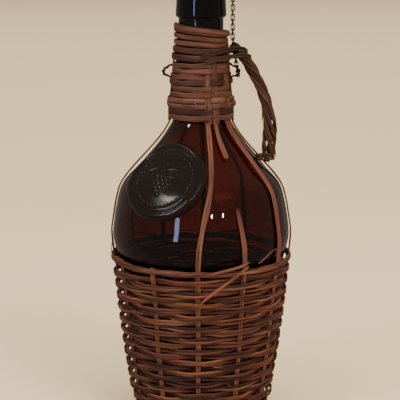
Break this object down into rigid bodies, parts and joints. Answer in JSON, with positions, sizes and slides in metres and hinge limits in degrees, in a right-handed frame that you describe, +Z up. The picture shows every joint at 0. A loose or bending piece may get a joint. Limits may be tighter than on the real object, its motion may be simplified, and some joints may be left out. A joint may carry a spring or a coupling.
{
  "type": "wicker-covered glass carboy",
  "caption": "Amber glass carboy with a shoulder seal, in a woven willow jacket with a twisted handle, its neck wrapped and its cork stopper held by a small chain.",
  "frame": {"origin": "centre of the base, on the surface the carboy stands on", "axes": "+Z up along the neck's axis, -Y towards the front where the seal is, +X towards the handle's side"},
  "size_m": [0.1398, 0.1412, 0.3377],
  "materials": {
    "amber_glass": "dark amber blown glass, glossy with slight ripple",
    "brown_willow": "aged brown willow with the bark on, dull with a little sheen",
    "peeled_willow": "split willow skeins and rods, reddish brown, worn lighter on the edges",
    "cork": "natural cork, matt with pores",
    "dark_wood": "dark turned hardwood cap, waxed",
    "dark_iron": "dark iron wire, slightly worn and rusty"
  },
  "bodies": {
    "container": {"glass_bottle": "amber_glass", "shoulder_seal": "amber_glass", "neck_wire": "dark_iron", "stake_01": "peeled_willow", "stake_02": "peeled_willow", "stake_03": "peeled_willow", "stake_04": "peeled_willow", "stake_05": "peeled_willow", "stake_06": "peeled_willow", "stake_07": "peeled_willow", "stake_08": "peeled_willow", "stake_09": "peeled_willow", "stake_10": "peeled_willow", "stake_11": "peeled_willow", "stake_12": "peeled_willow", "broken_stake_top": "peeled_willow", "handle_core": "peeled_willow", "handle_rod_1": "peeled_willow", "handle_rod_2": "peeled_willow", "handle_rod_3": "peeled_willow", "handle_rod_4": "peeled_willow", "lashing_front_upper": "peeled_willow", "lashing_front_lower": "peeled_willow", "lashing_back": "peeled_willow", "handle_foot_tie": "peeled_willow", "basket_weft_a": "brown_willow", "basket_weft_b": "brown_willow", "basket_rim": "brown_willow", "basket_foot": "brown_willow", "woven_base": "brown_willow", "neck_wrap": "brown_willow", "neck_head_rod": "brown_willow"},
    "stopper": {"cork_stopper": "cork", "stopper_cap": "dark_wood", "stopper_eye": "dark_iron"},
    "link_01": {"chain_link_01": "dark_iron"},
    "link_02": {"chain_link_02": "dark_iron"},
    "link_03": {"chain_link_03": "dark_iron"},
    "link_04": {"chain_link_04": "dark_iron"},
    "link_05": {"chain_link_05": "dark_iron"},
    "link_06": {"chain_link_06": "dark_iron"},
    "link_07": {"chain_link_07": "dark_iron"},
    "link_08": {"chain_link_08": "dark_iron"},
    "link_09": {"chain_link_09": "dark_iron"},
    "link_10": {"chain_link_10": "dark_iron"},
    "link_11": {"chain_link_11": "dark_iron"},
    "link_12": {"chain_link_12": "dark_iron"},
    "link_13": {"chain_link_13": "dark_iron"},
    "link_14": {"chain_link_14": "dark_iron"},
    "link_15": {"chain_link_15": "dark_iron"},
    "link_16": {"chain_link_16": "dark_iron"},
    "link_17": {"chain_link_17": "dark_iron"},
    "link_18": {"chain_link_18": "dark_iron"},
    "link_19": {"chain_link_19": "dark_iron"},
    "link_20": {"chain_link_20": "dark_iron"}
  },
  "joints": [
    {"name": "stopper_lift", "type": "slide", "parent": "container", "child": "stopper", "axis": [0, 0, 1], "range_m": [0, 0.02]},
    {"name": "link_01_play", "type": "slide", "parent": "container", "child": "link_01", "axis": [0, 0, 1], "range_m": [0, 0.00115]},
    {"name": "link_02_play", "type": "slide", "parent": "container", "child": "link_02", "axis": [0, 0, 1], "range_m": [0, 0.0021]},
    {"name": "link_03_play", "type": "slide", "parent": "container", "child": "link_03", "axis": [0, 0, 1], "range_m": [0, 0.00306]},
    {"name": "link_04_play", "type": "slide", "parent": "container", "child": "link_04", "axis": [0, 0, 1], "range_m": [0, 0.00401]},
    {"name": "link_05_play", "type": "slide", "parent": "container", "child": "link_05", "axis": [0, 0, 1], "range_m": [0, 0.00496]},
    {"name": "link_06_play", "type": "slide", "parent": "container", "child": "link_06", "axis": [0, 0, 1], "range_m": [0, 0.00591]},
    {"name": "link_07_play", "type": "slide", "parent": "container", "child": "link_07", "axis": [0, 0, 1], "range_m": [0, 0.00687]},
    {"name": "link_08_play", "type": "slide", "parent": "container", "child": "link_08", "axis": [0, 0, 1], "range_m": [0, 0.00782]},
    {"name": "link_09_play", "type": "slide", "parent": "container", "child": "link_09", "axis": [0, 0, 1], "range_m": [0, 0.00877]},
    {"name": "link_10_play", "type": "slide", "parent": "container", "child": "link_10", "axis": [0, 0, 1], "range_m": [0, 0.00972]},
    {"name": "link_11_play", "type": "slide", "parent": "container", "child": "link_11", "axis": [0, 0, 1], "range_m": [0, 0.01068]},
    {"name": "link_12_play", "type": "slide", "parent": "container", "child": "link_12", "axis": [0, 0, 1], "range_m": [0, 0.01163]},
    {"name": "link_13_play", "type": "slide", "parent": "container", "child": "link_13", "axis": [0, 0, 1], "range_m": [0, 0.01258]},
    {"name": "link_14_play", "type": "slide", "parent": "container", "child": "link_14", "axis": [0, 0, 1], "range_m": [0, 0.01353]},
    {"name": "link_15_play", "type": "slide", "parent": "container", "child": "link_15", "axis": [0, 0, 1], "range_m": [0, 0.01449]},
    {"name": "link_16_play", "type": "slide", "parent": "container", "child": "link_16", "axis": [0, 0, 1], "range_m": [0, 0.01544]},
    {"name": "link_17_play", "type": "slide", "parent": "container", "child": "link_17", "axis": [0, 0, 1], "range_m": [0, 0.01639]},
    {"name": "link_18_play", "type": "slide", "parent": "container", "child": "link_18", "axis": [0, 0, 1], "range_m": [0, 0.01734]},
    {"name": "link_19_play", "type": "slide", "parent": "container", "child": "link_19", "axis": [0, 0, 1], "range_m": [0, 0.0183]},
    {"name": "link_20_play", "type": "slide", "parent": "container", "child": "link_20", "axis": [0, 0, 1], "range_m": [0, 0.01925]}
  ],
  "couplings": [
    {"joint": "link_01_play", "follows": "stopper_lift", "ratio": 0.047619},
    {"joint": "link_02_play", "follows": "stopper_lift", "ratio": 0.095238},
    {"joint": "link_03_play", "follows": "stopper_lift", "ratio": 0.14286},
    {"joint": "link_04_play", "follows": "stopper_lift", "ratio": 0.19048},
    {"joint": "link_05_play", "follows": "stopper_lift", "ratio": 0.2381},
    {"joint": "link_06_play", "follows": "stopper_lift", "ratio": 0.28571},
    {"joint": "link_07_play", "follows": "stopper_lift", "ratio": 0.33333},
    {"joint": "link_08_play", "follows": "stopper_lift", "ratio": 0.38095},
    {"joint": "link_09_play", "follows": "stopper_lift", "ratio": 0.42857},
    {"joint": "link_10_play", "follows": "stopper_lift", "ratio": 0.47619},
    {"joint": "link_11_play", "follows": "stopper_lift", "ratio": 0.52381},
    {"joint": "link_12_play", "follows": "stopper_lift", "ratio": 0.57143},
    {"joint": "link_13_play", "follows": "stopper_lift", "ratio": 0.61905},
    {"joint": "link_14_play", "follows": "stopper_lift", "ratio": 0.66667},
    {"joint": "link_15_play", "follows": "stopper_lift", "ratio": 0.71429},
    {"joint": "link_16_play", "follows": "stopper_lift", "ratio": 0.76191},
    {"joint": "link_17_play", "follows": "stopper_lift", "ratio": 0.80952},
    {"joint": "link_18_play", "follows": "stopper_lift", "ratio": 0.85714},
    {"joint": "link_19_play", "follows": "stopper_lift", "ratio": 0.90476},
    {"joint": "link_20_play", "follows": "stopper_lift", "ratio": 0.95238}
  ]
}
